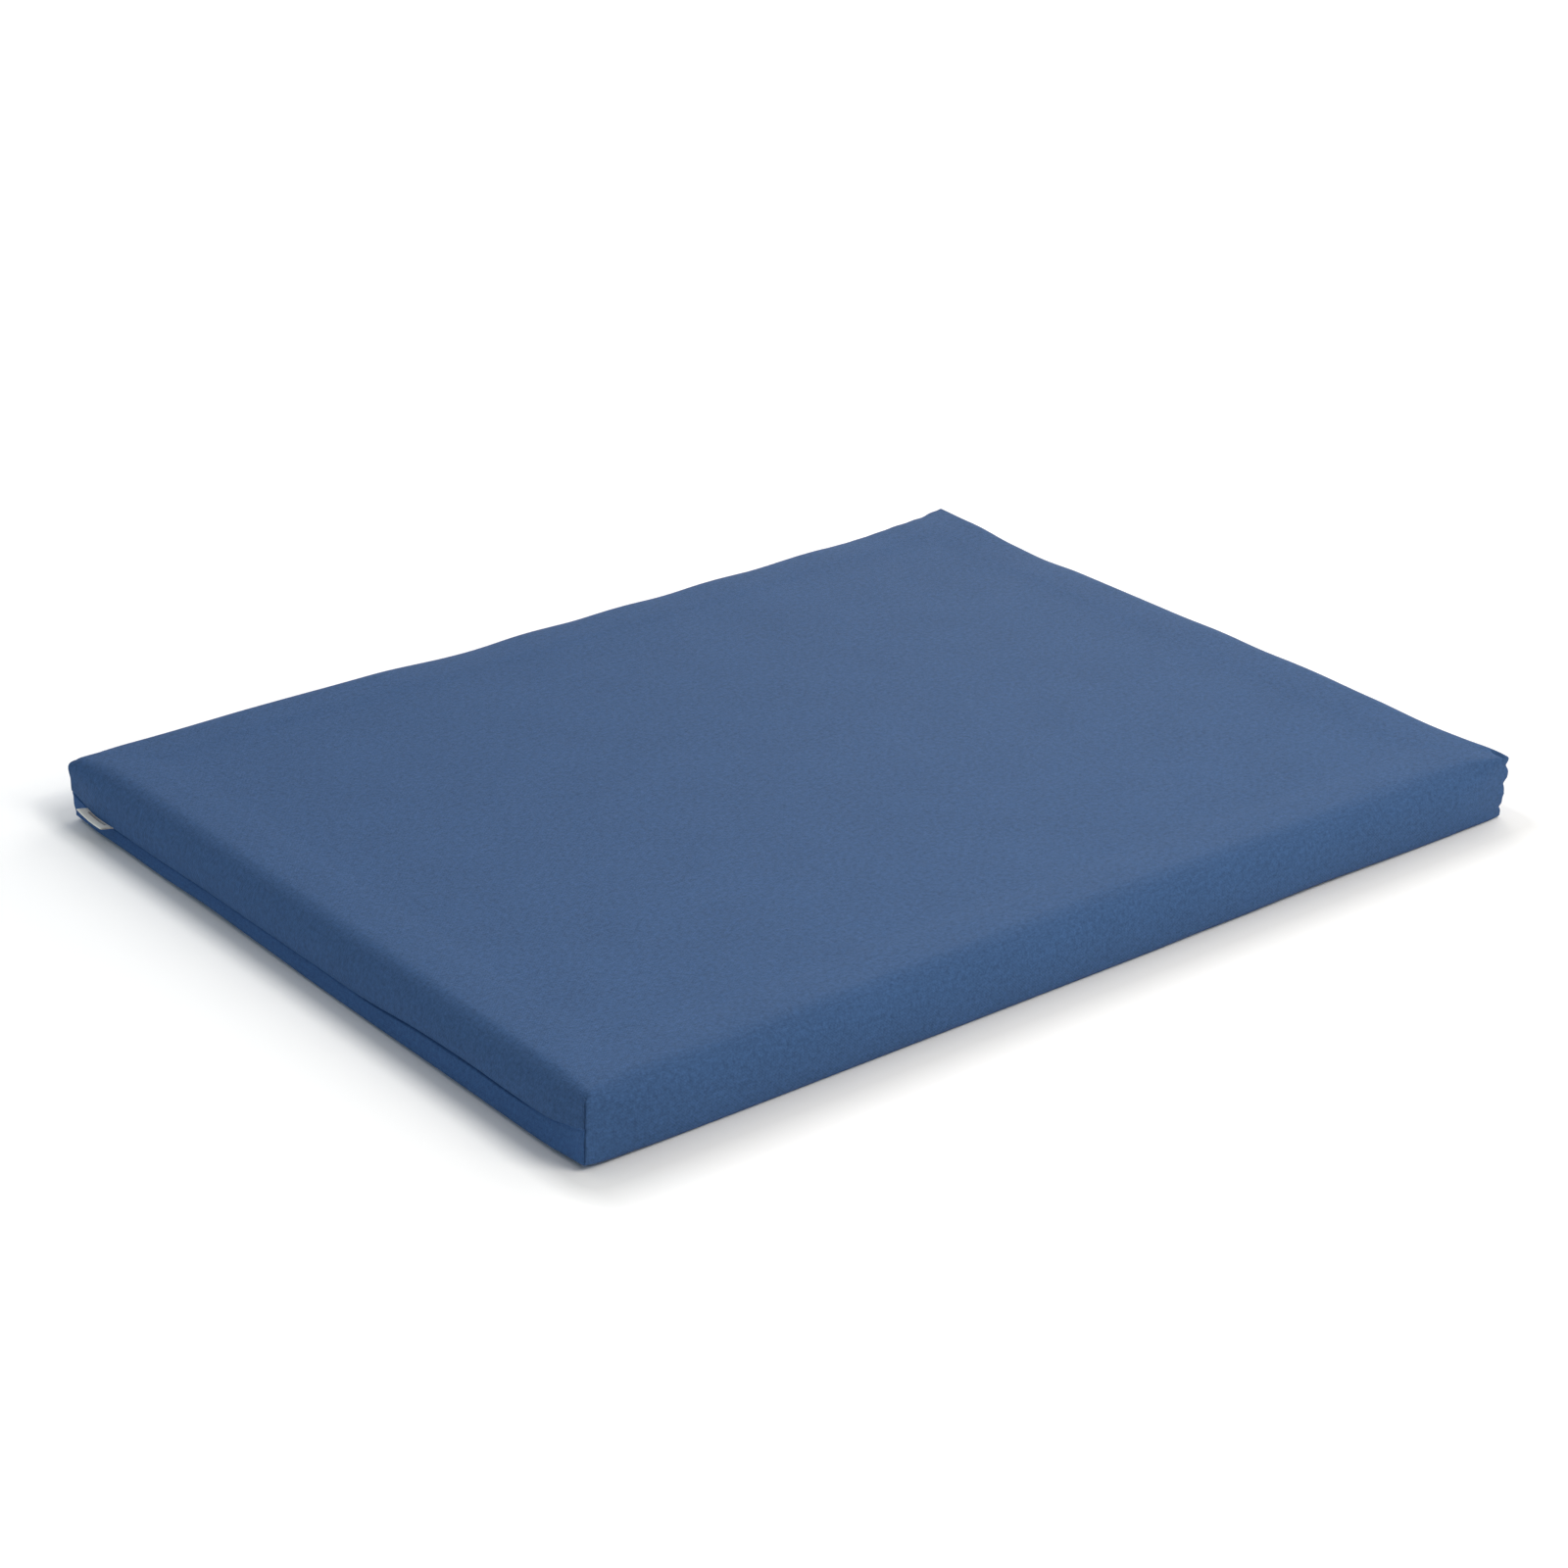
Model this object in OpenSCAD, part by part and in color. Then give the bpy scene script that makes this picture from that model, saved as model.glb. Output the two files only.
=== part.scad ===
// Floor mat for exercise and therapy: one piece of twill folded round the front edge,
// seamed at both ends and closed by a coil zip at the back, over a wadded foam slab.
// Millimetres. The mat lies on z = 0 with its centre over the origin. +X runs along the
// folded front edge, +Y points to the zip.

/* [Mat] */
// Length of the mat along its folded front edge
mat_length = 900; // [720:10:1300]
// Depth of the mat from the folded front edge back to the zip
mat_depth = 700; // [400:10:1000]
// Height of the mat
mat_height = 55; // [44:1:80]
// Rounding of the folded front edge
front_r = 14; // [8:0.5:18]
// Rounding of the two seamed ends
end_r = 18; // [8:0.5:20]

/* [Cover] */
// Thickness of the cover's twill
cloth = 0.6; // [0.4:0.05:0.8]
// Height of the end seams, which sag below the middle of the wall
end_seam = 20; // [18:0.5:26]
// Cloth turned in on each side of an end seam
seam_turn = 10; // [6:0.5:12]
// Cloth turned under along each lip of the zip opening
lip_turn = 9; // [7:0.5:10]
// Depth of the crease along a closed seam
seam_crease = 0.4; // [0.2:0.05:0.5]
// Length over which the lips close up past each end of the zip
lip_close = 9; // [5:0.5:14]

/* [Filling] */
// Thickness of the cotton liner round the filling
liner_cloth = 0.4; // [0.3:0.05:0.6]
// Thickness of the wadding wrapped round the foam
wadding = 6; // [4:0.5:8]
// Play between one layer and the next
layer_fit = 0.1; // [0.05:0.05:0.2]

/* [Zip] */
// Length of the chain between its stops
zip_length = 600; // [300:10:780]
// Width of one tape
tape_width = 13.5; // [11:0.5:14]
// Thickness of the tapes
tape = 0.5; // [0.4:0.05:0.6]
// Length of tape past each stop
tape_tail = 20; // [12:1:28]
// Width of the closed chain
chain_width = 5.8; // [5.4:0.1:6.4]
// Height of the coils on the tapes
coil_height = 1.8; // [1.6:0.1:2]
// Distance from one turn of a coil to the next
coil_pitch = 1.54; // [1.4:0.02:1.8]
// How far a coil's heads reach past the middle of the chain
head_over = 0.55; // [0.45:0.05:0.65]
// Thickness of the filler cord in each coil
cord = 0.7; // [0.5:0.05:0.8]
// Length of each top stop along the chain
top_stop = 2.6; // [2:0.1:4]
// Length of the bottom stop along the chain
bottom_stop = 3.2; // [2.4:0.1:5]

/* [Slider] */
// Length of the slider body
slider_length = 12; // [11:0.5:15]
// Thickness of the slider's two plates
plate = 0.9; // [0.7:0.05:1.1]
// Thickness of the slider's flanges
flange = 0.8; // [0.6:0.05:1]
// Half the width of the diamond that parts the coils
diamond = 0.95; // [0.8:0.05:1.1]
// Play between the slider and the chain
slider_play = 0.15; // [0.12:0.01:0.2]
// Width of the bail across the slider
bail_width = 2; // [1.6:0.1:2.4]
// Thickness of the bail
bail = 0.9; // [0.7:0.05:1.1]

/* [Pull tab] */
// Length of the pull tab from its pivot
pull_length = 24; // [18:1:34]
// Width of the pull tab's grip
pull_width = 8; // [7:0.5:9]
// Thickness of the pull tab and diameter of its pivot bar
pull = 1.2; // [1:0.1:1.5]

/* [Label] */
// Length of the folded label along the seam
label_width = 38; // [20:1:60]
// How far the label stands out of the seam
label_out = 11; // [8:0.5:18]
// Thickness of the label's ribbon
label_ribbon = 0.35; // [0.25:0.05:0.5]
// Distance from the back of the mat to the label
label_from_back = 23; // [16:1:60]

/* [Hidden] */
$fn = 48;

twill_blue = [0.30, 0.40, 0.54];
zip_blue = [0.20, 0.28, 0.40];
natural = [0.90, 0.87, 0.80];

mid_z = mat_height / 2;
overcut = 1;

// Where the coils run and how they mesh. s runs along the chain towards its closed end,
// t across it and n out of the mat, with n = 0 on the outer face of the tapes.
zip_face_y = mat_depth / 2 - 2 * cloth;
head_lock = 0.03;
mesh_gap = 0.07;
coil_head = coil_pitch / 2 + head_lock;
coil_leg = coil_pitch - coil_head - 2 * mesh_gap;
coil_half = chain_width / 2;
tape_edge = 0.75;
cord_play = 0.05;
cord_t = tape_edge + cord / 2 + 0.5;
cord_n = coil_height / 2;
chain_end = zip_length / 2;

// The slider parts the coils over its middle stretch, by the half width of its diamond.
// It rests just short of the top stops.
rest_gap = 0.3;
diamond_play = 0.1;
channel_play = 0.12;
slider_front = chain_end - rest_gap;
slider_rear = slider_front - slider_length;
slider_mid = (slider_front + slider_rear) / 2;
neck = 3.2;
mouth = 1.5;
splay = diamond + head_over + diamond_play;
splay_start = slider_rear + neck;
splay_end = slider_front - mouth;
slope = splay / (splay_end - splay_start);
channel_half = coil_half + channel_play;
neck_half = channel_half + flange;
mouth_half = neck_half + splay;
diamond_tail = splay_start + (head_over + diamond_play) / slope;
channel_low = -tape - slider_play;
channel_high = coil_height + slider_play;
plate_top = channel_high + plate;

// The bail and the pull tab's bar, which turns under it
pivot_n = plate_top + slider_play + pull / 2;
bail_inside = 2 * slider_play + pull;
bail_top = plate_top + bail_inside + bail;
bail_gap = 4;
bail_foot = 1.2;
bail_length = bail_gap + 2 * bail_foot;
arm_play = 0.4;
arm_gap = bail_width / 2 + arm_play;
arm = 1.2;
arm_half = arm_gap + arm;
arm_length = norm([bail_length / 2, bail_top - pivot_n]) + 2 * arm_play;

// The zip's window in the back of the cover, and the wall left flat for it
lip_play = 0.4;
window_play = 1;
lip_half = mouth_half + lip_play;
flat_half = lip_half + lip_turn;
back_r = min(front_r, mid_z - flat_half);
window_closed = chain_end + top_stop + window_play;
window_open = chain_end + bottom_stop + window_play;

// Stops stand taller than the slider's channel, so that the slider can't run over them
stop_over = 0.35;
stop_under = 0.6;
stop_side = 0.7;
stop_grip = 2.2;
stop_low = channel_low - stop_under;
stop_high = channel_high + stop_over;
stop_half = coil_half + stop_side;

// The filling's outer form lies inside the cover's double cloth. Its back is let in behind
// the zip, deep enough for the slider's lower plate.
relief_play = 0.35;
relief = plate - channel_low + relief_play;
core_inset = 2 * cloth + layer_fit;
fill_inset = core_inset + liner_cloth + layer_fit;
foam_inset = fill_inset + wadding;

// Two layers of the label's ribbon, with a little air between them
label_air = 0.6 * label_ribbon;
label_thickness = 2 * label_ribbon + label_air;

// How far the coils stand off their line at a place along the chain
function splay_at(s) = slope * (min(max(s, splay_start), splay_end) - splay_start);

// Places of a coil's turns: even along the chain, a little wider where the coil bends.
// The turns leave room at the end for the half pitch that one coil runs ahead by.
spread = 1.06;
turns_even = floor((splay_start + chain_end) / coil_pitch);
turns_bent = floor((chain_end - coil_pitch / 2 - mesh_gap
    - (turns_even * coil_pitch - chain_end)) / (coil_pitch * spread));
function turn_at(i) = coil_pitch * (min(i, turns_even) + spread * max(i - turns_even, 0))
    - chain_end;

// Places an item drawn in the chain's own s, t, n on the back of the mat
module on_zip() {
    translate([0, zip_face_y, mid_z]) rotate([90, 0, 180]) children();
}

// The same, for a flat outline in s and t that is n_low to n_high thick
module zip_slab(n_low, n_high) {
    on_zip() translate([0, 0, n_low]) linear_extrude(n_high - n_low) children();
}

// Outline from x = 0 to x1 and height tall, with its two corners at x1 rounded to r
module round_half(x1, height, r) {
    square([x1 - r, height]);
    translate([0, r]) square([x1, height - 2 * r]);
    for (y = [r, height - r]) translate([x1 - r, y]) circle(r);
}

// The mat's outer form, moved inward by inset: its end-on and side-on outlines crossed
module mat_form(inset) {
    height = mat_height - 2 * inset;
    intersection() {
        translate([-mat_length / 2, 0, inset]) rotate([90, 0, 90])
            linear_extrude(mat_length) {
                round_half(mat_depth / 2 - inset, height, back_r - inset);
                mirror([1, 0]) round_half(mat_depth / 2 - inset, height, front_r - inset);
            }
        translate([0, mat_depth / 2, inset]) rotate([90, 0, 0])
            linear_extrude(mat_depth) for (side = [0, 1]) mirror([side, 0])
                round_half(mat_length / 2 - inset, height, end_r - inset);
    }
}

// The filling's form, with a long relief at the back for the tapes and the slider
module core_form(inset) {
    relief_half = flat_half + inset - core_inset;
    relief_depth = relief + inset - core_inset;
    difference() {
        mat_form(inset);
        translate([-mat_length / 2, zip_face_y - relief_depth, mid_z - relief_half])
            cube([mat_length, relief_depth + 2 * cloth + overcut, 2 * relief_half]);
    }
}

// Cloth turned in behind the seams of both ends and the back
module turned_cloth() {
    for (side = [-1, 1]) translate([side * mat_length / 2, 0, end_seam])
        cube([4 * cloth, mat_depth, 2 * seam_turn], center = true);
    translate([0, mat_depth / 2, mid_z])
        cube([mat_length, 4 * cloth, 2 * flat_half], center = true);
}

// Window between the lips of the zip, drawn in s and t
module zip_window() {
    polygon([[-window_open, -lip_half], [window_closed, -lip_half],
        [window_closed + lip_close, 0], [window_closed, lip_half],
        [-window_open, lip_half], [-window_open - lip_close, 0]]);
}

// Crease along a closed seam, drawn along X from x0 to x1
module crease(x0, x1) {
    side = seam_crease * sqrt(2);
    translate([(x0 + x1) / 2, 0, 0]) rotate([45, 0, 0])
        cube([x1 - x0, side, side], center = true);
}

module cover_wrap() {
    color(twill_blue) difference() {
        mat_form(0);
        difference() {
            mat_form(cloth);
            turned_cloth();
        }
        zip_slab(-overcut, 2 * cloth + overcut) zip_window();
        translate([0, mat_depth / 2, mid_z]) {
            crease(-mat_length / 2 - overcut, -window_closed - lip_close / 2);
            crease(window_open + lip_close / 2, mat_length / 2 + overcut);
        }
        for (side = [-1, 1]) translate([side * mat_length / 2, 0, end_seam])
            rotate([0, 0, 90]) crease(-mat_depth / 2 - overcut, mat_depth / 2 + overcut);
        label_slot();
    }
}

module core_liner() {
    color(natural) difference() {
        core_form(core_inset);
        core_form(core_inset + liner_cloth);
    }
}

module foam_block() {
    translate([foam_inset - mat_length / 2, foam_inset - mat_depth / 2, foam_inset])
        cube([mat_length - 2 * foam_inset, mat_depth - 2 * foam_inset,
            mat_height - 2 * foam_inset]);
}

module foam_core() {
    color([0.95, 0.93, 0.84]) foam_block();
}

// Half of the wadding that wraps the foam, from the mat's middle height up or down
module wadding_half(z0) {
    difference() {
        intersection() {
            core_form(fill_inset);
            translate([-mat_length / 2, -mat_depth / 2, z0])
                cube([mat_length, mat_depth, mid_z]);
        }
        foam_block();
    }
}

module wadding_upper() {
    color([0.97, 0.97, 0.96]) wadding_half(mid_z);
}

module wadding_lower() {
    color([0.93, 0.93, 0.92]) wadding_half(0);
}

// Place of the label, with x out of the left end and z across the ribbon
module at_label() {
    translate([-mat_length / 2, mat_depth / 2 - label_from_back, end_seam])
        rotate([90, 0, 0]) mirror([1, 0, 0]) children();
}

module label_slot() {
    at_label() translate([-2 * cloth - overcut, -label_thickness / 2, 0])
        cube([2 * cloth + 2 * overcut, label_thickness, label_width]);
}

// A ribbon folded over, with both ends caught in the end seam
module side_label() {
    fold_r = label_thickness / 2;
    inner_r = fold_r - label_ribbon;
    color(natural) at_label() linear_extrude(label_width) difference() {
        union() {
            translate([-2 * cloth, -fold_r]) square([label_out + 2 * cloth - fold_r, 2 * fold_r]);
            translate([label_out - fold_r, 0]) circle(fold_r);
        }
        translate([-2 * cloth - overcut, -inner_r])
            square([label_out + 2 * cloth + overcut - fold_r, 2 * inner_r]);
        translate([label_out - fold_r, 0]) circle(inner_r);
    }
}

// A strip that keeps beside its coil, from t0 to t1, where the slider parts the chain
module splayed_strip(s0, s1, t0, t1) {
    polygon([[s0, t0], [splay_start, t0], [splay_end, t0 + splay], [s1, t0 + splay],
        [s1, t1 + splay], [splay_end, t1 + splay], [splay_start, t1], [s0, t1]]);
}

// A tape's outer edge is sewn to the lip, so only its inner edge moves aside
module zip_tape() {
    s0 = -chain_end - bottom_stop - tape_tail;
    s1 = chain_end + top_stop + tape_tail;
    outer = tape_edge + tape_width;
    zip_slab(-tape, 0) polygon([[s0, tape_edge], [splay_start, tape_edge],
        [splay_end, tape_edge + splay], [s1, tape_edge + splay], [s1, outer], [s0, outer]]);
}

// One turn of a coil, seen from the face of the zip: a leg that widens to its head. The
// head is wider than the way between its two neighbours' heads, which is what locks it.
module turn_outline() {
    polygon([[-coil_leg / 2, coil_half], [-coil_leg / 2, 0], [-coil_head / 2, -head_over],
        [coil_head / 2, -head_over], [coil_leg / 2, 0], [coil_leg / 2, coil_half]]);
}

// One coil, with each turn tunnelled lengthwise for the filler cord. Its turns are drawn at
// s = 0 and moved along the chain, whose s runs towards -X.
module zip_coil(offset_s) {
    bore = cord / 2 + cord_play;
    for (i = [0 : turns_even + turns_bent - 1])
        let (s = turn_at(i + 0.5) + offset_s)
            translate([-s, 0, splay_at(s)]) difference() {
                zip_slab(0, coil_height) turn_outline();
                zip_slab(cord_n - bore, cord_n + bore) translate([-coil_head, cord_t - bore])
                    square([2 * coil_head, 2 * bore]);
            }
}

module zip_cord() {
    zip_slab(cord_n - cord / 2, cord_n + cord / 2)
        splayed_strip(-chain_end, chain_end, cord_t - cord / 2, cord_t + cord / 2);
}

// Mirrors an item across the middle of the chain
module lower_half() {
    translate([0, 0, mid_z]) mirror([0, 0, 1]) translate([0, 0, -mid_z]) children();
}

module zip_tape_upper() {
    color(zip_blue) zip_tape();
}

module zip_tape_lower() {
    color(zip_blue) lower_half() zip_tape();
}

module zip_coil_upper() {
    color(zip_blue) zip_coil(coil_pitch / 2);
}

module zip_coil_lower() {
    color(zip_blue) lower_half() zip_coil(0);
}

module zip_cord_upper() {
    color(natural) zip_cord();
}

module zip_cord_lower() {
    color(natural) lower_half() zip_cord();
}

// A clip on the edge of one tape, just past the end of its coil
module top_stop_clip() {
    difference() {
        zip_slab(stop_low, stop_high)
            translate([chain_end, tape_edge + splay - stop_side])
                square([top_stop, stop_side + stop_grip]);
        zip_slab(-tape, 0) translate([chain_end - overcut, tape_edge + splay])
            square([top_stop + 2 * overcut, tape_width]);
    }
}

module zip_top_stops() {
    color("silver") {
        top_stop_clip();
        lower_half() top_stop_clip();
    }
}

// One clip round the edges of both tapes
module zip_bottom_stop() {
    color("silver") difference() {
        zip_slab(stop_low, stop_high) translate([-chain_end - bottom_stop, -stop_half])
            square([bottom_stop, 2 * stop_half]);
        for (side = [0, 1]) zip_slab(-tape, 0) mirror([0, side])
            translate([-chain_end - bottom_stop - overcut, tape_edge])
                square([bottom_stop + 2 * overcut, tape_width]);
    }
}

// Outline of the slider's plates: a narrow neck that widens to two shoulders
module slider_outline() {
    corner = 0.9;
    upper = [[slider_rear, neck_half - corner], [slider_rear + corner, neck_half],
        [splay_start, neck_half], [splay_end, mouth_half],
        [slider_front - corner, mouth_half], [slider_front, mouth_half - corner]];
    lower = [for (i = [len(upper) - 1 : -1 : 0]) [upper[i][0], -upper[i][1]]];
    polygon(concat(upper, lower));
}

// The Y-shaped way through the slider for the two coils
module slider_channel() {
    half = [[slider_rear - overcut, channel_half], [splay_start, channel_half],
        [splay_end, channel_half + splay], [slider_front + overcut, channel_half + splay]];
    lower = [for (i = [len(half) - 1 : -1 : 0]) [half[i][0], -half[i][1]]];
    polygon(concat(half, lower));
}

// The wedge that parts the coils, blunt towards the open throats
module slider_diamond() {
    nose_s = slider_front - 0.4;
    nose_t = 0.6 * diamond;
    polygon([[diamond_tail, 0], [splay_end, diamond], [nose_s, nose_t], [nose_s, -nose_t],
        [splay_end, -diamond]]);
}

// The arch over the slider that holds the pull tab's bar, drawn in s and n
module bail_outline() {
    round_r = 1.3;
    hole_r = 0.5;
    difference() {
        union() {
            square([bail_length, bail_top - plate_top - round_r]);
            translate([round_r, 0]) square([bail_length - 2 * round_r, bail_top - plate_top]);
            for (s = [round_r, bail_length - round_r])
                translate([s, bail_top - plate_top - round_r]) circle(round_r);
        }
        translate([(bail_length - bail_gap) / 2, -overcut])
            square([bail_gap, bail_inside + overcut - hole_r]);
        translate([(bail_length - bail_gap) / 2 + hole_r, -overcut])
            square([bail_gap - 2 * hole_r, bail_inside + overcut]);
        for (s = [hole_r, bail_gap - hole_r])
            translate([(bail_length - bail_gap) / 2 + s, bail_inside - hole_r]) circle(hole_r);
    }
}

module slider_body() {
    color(zip_blue) {
        zip_slab(channel_low - plate, channel_low) slider_outline();
        zip_slab(channel_high, plate_top) slider_outline();
        zip_slab(slider_play, channel_high) difference() {
            slider_outline();
            slider_channel();
        }
        zip_slab(channel_low, channel_high) slider_diamond();
        on_zip() translate([slider_mid - bail_length / 2, bail_width / 2, plate_top])
            rotate([90, 0, 0]) linear_extrude(bail_width) bail_outline();
    }
}

// The pull tab's outline from its pivot back over the closed chain, in s and t
module pull_outline() {
    grip_r = pull_width / 2;
    grip_s = grip_r - pull_length;
    hole_r = 1.6;
    difference() {
        union() {
            translate([-arm_length - arm, -arm_half]) square([arm_length + arm, 2 * arm_half]);
            polygon([[-arm_length, arm_half], [grip_s, grip_r], [grip_s, -grip_r],
                [-arm_length, -arm_half]]);
            translate([grip_s, 0]) circle(grip_r);
        }
        translate([-arm_length, -arm_gap]) square([arm_length + overcut, 2 * arm_gap]);
        for (s = [grip_s, grip_s + 3]) translate([s, 0]) circle(hole_r);
        translate([grip_s, -hole_r]) square([3, 2 * hole_r]);
    }
}

module pull_tab() {
    color("silver") on_zip() translate([slider_mid, 0, pivot_n]) {
        rotate([90, 0, 0]) cylinder(h = 2 * arm_half, r = pull / 2, center = true);
        translate([0, 0, -pull / 2]) linear_extrude(pull) pull_outline();
    }
}

cover_wrap();
core_liner();
foam_core();
wadding_upper();
wadding_lower();
side_label();
zip_tape_upper();
zip_tape_lower();
zip_coil_upper();
zip_coil_lower();
zip_cord_upper();
zip_cord_lower();
zip_top_stops();
zip_bottom_stop();
slider_body();
pull_tab();
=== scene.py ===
"""Looks of a covered floor mat: a twill cover over a filled liner, a folded label and a coil zip.

Lengths are written in millimetres and multiplied by MM. x runs along the folded front edge,
y back to the zip and z up. The cover starts as a gridded box, called rest here. Its points are
moved to the soft form, swelled by a short cloth simulation and cut open for the zip.
"""

import math

import bpy
import numpy as np
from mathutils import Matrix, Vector


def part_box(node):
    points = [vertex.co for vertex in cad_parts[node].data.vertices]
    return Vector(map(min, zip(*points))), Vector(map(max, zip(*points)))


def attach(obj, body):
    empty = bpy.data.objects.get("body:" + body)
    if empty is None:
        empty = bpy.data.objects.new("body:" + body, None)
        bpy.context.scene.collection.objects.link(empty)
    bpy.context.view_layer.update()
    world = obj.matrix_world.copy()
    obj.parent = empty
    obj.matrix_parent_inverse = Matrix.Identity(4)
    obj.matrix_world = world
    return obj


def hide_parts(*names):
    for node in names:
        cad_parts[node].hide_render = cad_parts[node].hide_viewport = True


MM = 0.001
# Two places closer than this are the same
NEAR = 0.01
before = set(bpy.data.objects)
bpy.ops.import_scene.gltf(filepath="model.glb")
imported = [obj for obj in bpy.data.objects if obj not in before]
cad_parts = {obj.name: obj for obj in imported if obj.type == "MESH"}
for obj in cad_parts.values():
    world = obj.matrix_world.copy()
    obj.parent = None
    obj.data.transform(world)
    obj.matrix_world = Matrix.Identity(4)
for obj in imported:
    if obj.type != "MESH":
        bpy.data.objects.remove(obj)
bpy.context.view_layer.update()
scene = bpy.context.scene

# ---------------------------------------------------------------- sizes taken from the frame
_, cover_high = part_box("cover_wrap")
HALF_X = cover_high.x / MM
HALF_Y = cover_high.y / MM
HEIGHT = cover_high.z / MM
MID = HEIGHT / 2
TAPE_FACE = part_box("zip_tape_upper")[1].y / MM
LABEL_LOW, LABEL_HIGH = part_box("side_label")
# The zip's window is open from WINDOW_LOW to WINDOW_HIGH, and shuts over LIP_CLOSE past them
slider_low, slider_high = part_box("slider_body")
LIP_PLAY = 0.4
LIP_HALF = (slider_high.z - slider_low.z) / MM / 2 + LIP_PLAY
WINDOW_PLAY = 1.0
WINDOW_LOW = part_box("zip_top_stops")[0].x / MM - WINDOW_PLAY
WINDOW_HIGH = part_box("zip_bottom_stop")[1].x / MM + WINDOW_PLAY
LIP_CLOSE = 9.0
SHUT_LOW, SHUT_HIGH = WINDOW_LOW - LIP_CLOSE, WINDOW_HIGH + LIP_CLOSE

# ---------------------------------------------------------------- the cover's soft form
# The window's lips turn in round FOLD_R, FOLD_GAP off the tape, and go on for LIP_TURN behind it
FOLD_GAP = 0.08
FOLD_R = (HALF_Y - TAPE_FACE - FOLD_GAP) / 2
LIP_ROW = LIP_HALF + FOLD_R
LIP_TURN = 8.0
# The rows of the back wall make room for the window over this height beside its lips
LIP_ROOM = 9.0
# The back edge's waves leave this height above the lips alone
LIP_SHOULDER = 6
# Cloth between two rows of a lip
LIP_CLOTH = 0.7
TOP_RISE = 0.6
# How round the edges of the top and of the underside are along each wall
TOP_R = {"left": 13.0, "right": 8.0, "front": 13.0, "back": 7.0}
LOW_R = {"left": 4.0, "right": 4.0, "front": 5.0, "back": 4.0}
# How round they stay at the corners, and how far from them they are as round as along the wall
CORNER_R = 1.8
CORNER_SOFT = 46.0
# How round the top edges stay at the front and back corners of the left end
LEFT_CORNER_R = (9.0, 9.5)
# Height of the seam along the left and right end, as (y, z)
LEFT_SEAM = [(-350, 28.8), (-335, 26.4), (-313, 23.1), (-275, 22.3), (-215, 23.3), (-150, 21.9),
             (-80, 17.1), (0, 16.6), (150, 15.3), (283, 14.3), (322, 15.9), (350, 24.8)]
RIGHT_SEAM = [(-350, 24), (-300, 21), (-150, 19), (50, 20), (220, 18), (320, 21), (350, 24)]
# How far in from the ends the rows still follow their seams
SEAM_FADE = 60
# How deep the seam of each end opens, as (y, depth)
LEFT_SLIT = [(-350, 0.5), (-292, 0.6), (-270, 2.6), (-200, 3.0), (-110, 2.6), (-78, 1.8),
             (-62, 0.6), (265, 0.5), (285, 2.0), (300, 2.6), (342, 2.4), (350, 0.8)]
RIGHT_SLIT = [(-350, 0.5), (-180, 0.6), (-130, 1.8), (60, 2.2), (140, 0.8), (350, 0.5)]
# The slit lies under the upper cloth's edge
SLIT_BELOW, SLIT_HALF = 1.4, 1.0
# How far an end wall stands out at a height from its seam, as (height, distance)
END_PROFILE = [(-27.5, 0.0), (-24, 2.4), (-14, 1.4), (-6, 0.3), (-1.2, -0.3), (0, -0.5),
               (0.8, 1.9), (2.2, 2.5), (6, 2.7), (14, 2.2), (22, 1.0), (27.5, 0.0)]
# How far the front wall swells, and how far the swelling of a wall reaches over its edges
FRONT_SWELL = 2.5
SWELL_REACH = 25
# How far from the corners the end walls and the front wall swell in full
END_EASE, FRONT_EASE = 40, 60
# Waves of the edges, as (place along the edge, half width, amount)
BACK_TOP_WAVES = [(-290, 110, 0.8), (-80, 100, -4.3), (30, 75, -3.6), (125, 85, -4.0),
                  (225, 80, -3.8), (330, 100, -3.2), (430, 40, -1.4)]
RIGHT_TOP_WAVES = [(0, 400, 1.5), (300, 62, 4.0), (200, 50, -1.8), (-30, 60, 1.1), (-130, 80, 1.3),
                   (-270, 70, -2.0)]
FRONT_LOW_WAVES = [(225, 110, 1.2), (120, 60, 0.8), (260, 150, 1.3)]
LEFT_LOW_WAVES = [(265, 90, 1.8), (140, 100, 3.0), (50, 60, 1.2), (-330, 40, 0.4)]
# How far the waves of an edge and the corners' leaning reach
WAVE_REACH = 35
CORNER_REACH = 24.0
# Small ripples of the back edge near the right end: height, length of a radian and reach
RIPPLE_RISE, RIPPLE_LENGTH, RIPPLE_REACH = 0.7, 3.6, 55
# How far each corner leans, as (x, y, z) at the floor and at the top
CORNERS = {
    (-1, -1): ((-1.2, 0.9, 5.2), (1.6, 1.9, -0.5)),
    (-1, 1): ((-2.2, 1.6, 3.5), (-5.2, 4.2, -1.5)),
    (1, -1): ((-3.8, 3.0, 0.8), (-0.9, 0.4, -3.1)),
    (1, 1): ((-0.6, -0.6, 0.5), (0.4, 0.4, 3.0)),
}
# The front left corner's ear, which rises at the top, and reaches less far along y
EAR_RISE, EAR_REACH, EAR_SLANT = 2.2, 90.0, 0.9
# Upright folds of the left end above its seam, as (place, half width, depth), their height over the
# wall's middle and half their length
FLAP_FOLDS = [(-12, 2.5, 0.5), (-29, 2.5, 0.5), (-68, 6, 0.7), (60, 5, 0.35)]
FLAP_MIDDLE, FLAP_HALF = 9, 11
# The crease of the front right corner's tip: place from the end, half width, depth, length, fade
TIP_PLACE, TIP_HALF, TIP_DEPTH, TIP_LENGTH, TIP_FADE = 5.25, 1.5, 4.0, 20, 10
# The upright seams of the corners: the groove of the stitches, and the cloth drawn in beside it
GROOVE, GROOVE_WIDTH = 1.1, 0.5
PUCKER, PUCKER_LENGTH, PUCKER_REACH = 0.35, 2.6, 7
SEAM_EASE = 3
DRAWN_X, DRAWN_Y = 0.75, 0.6
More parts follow.
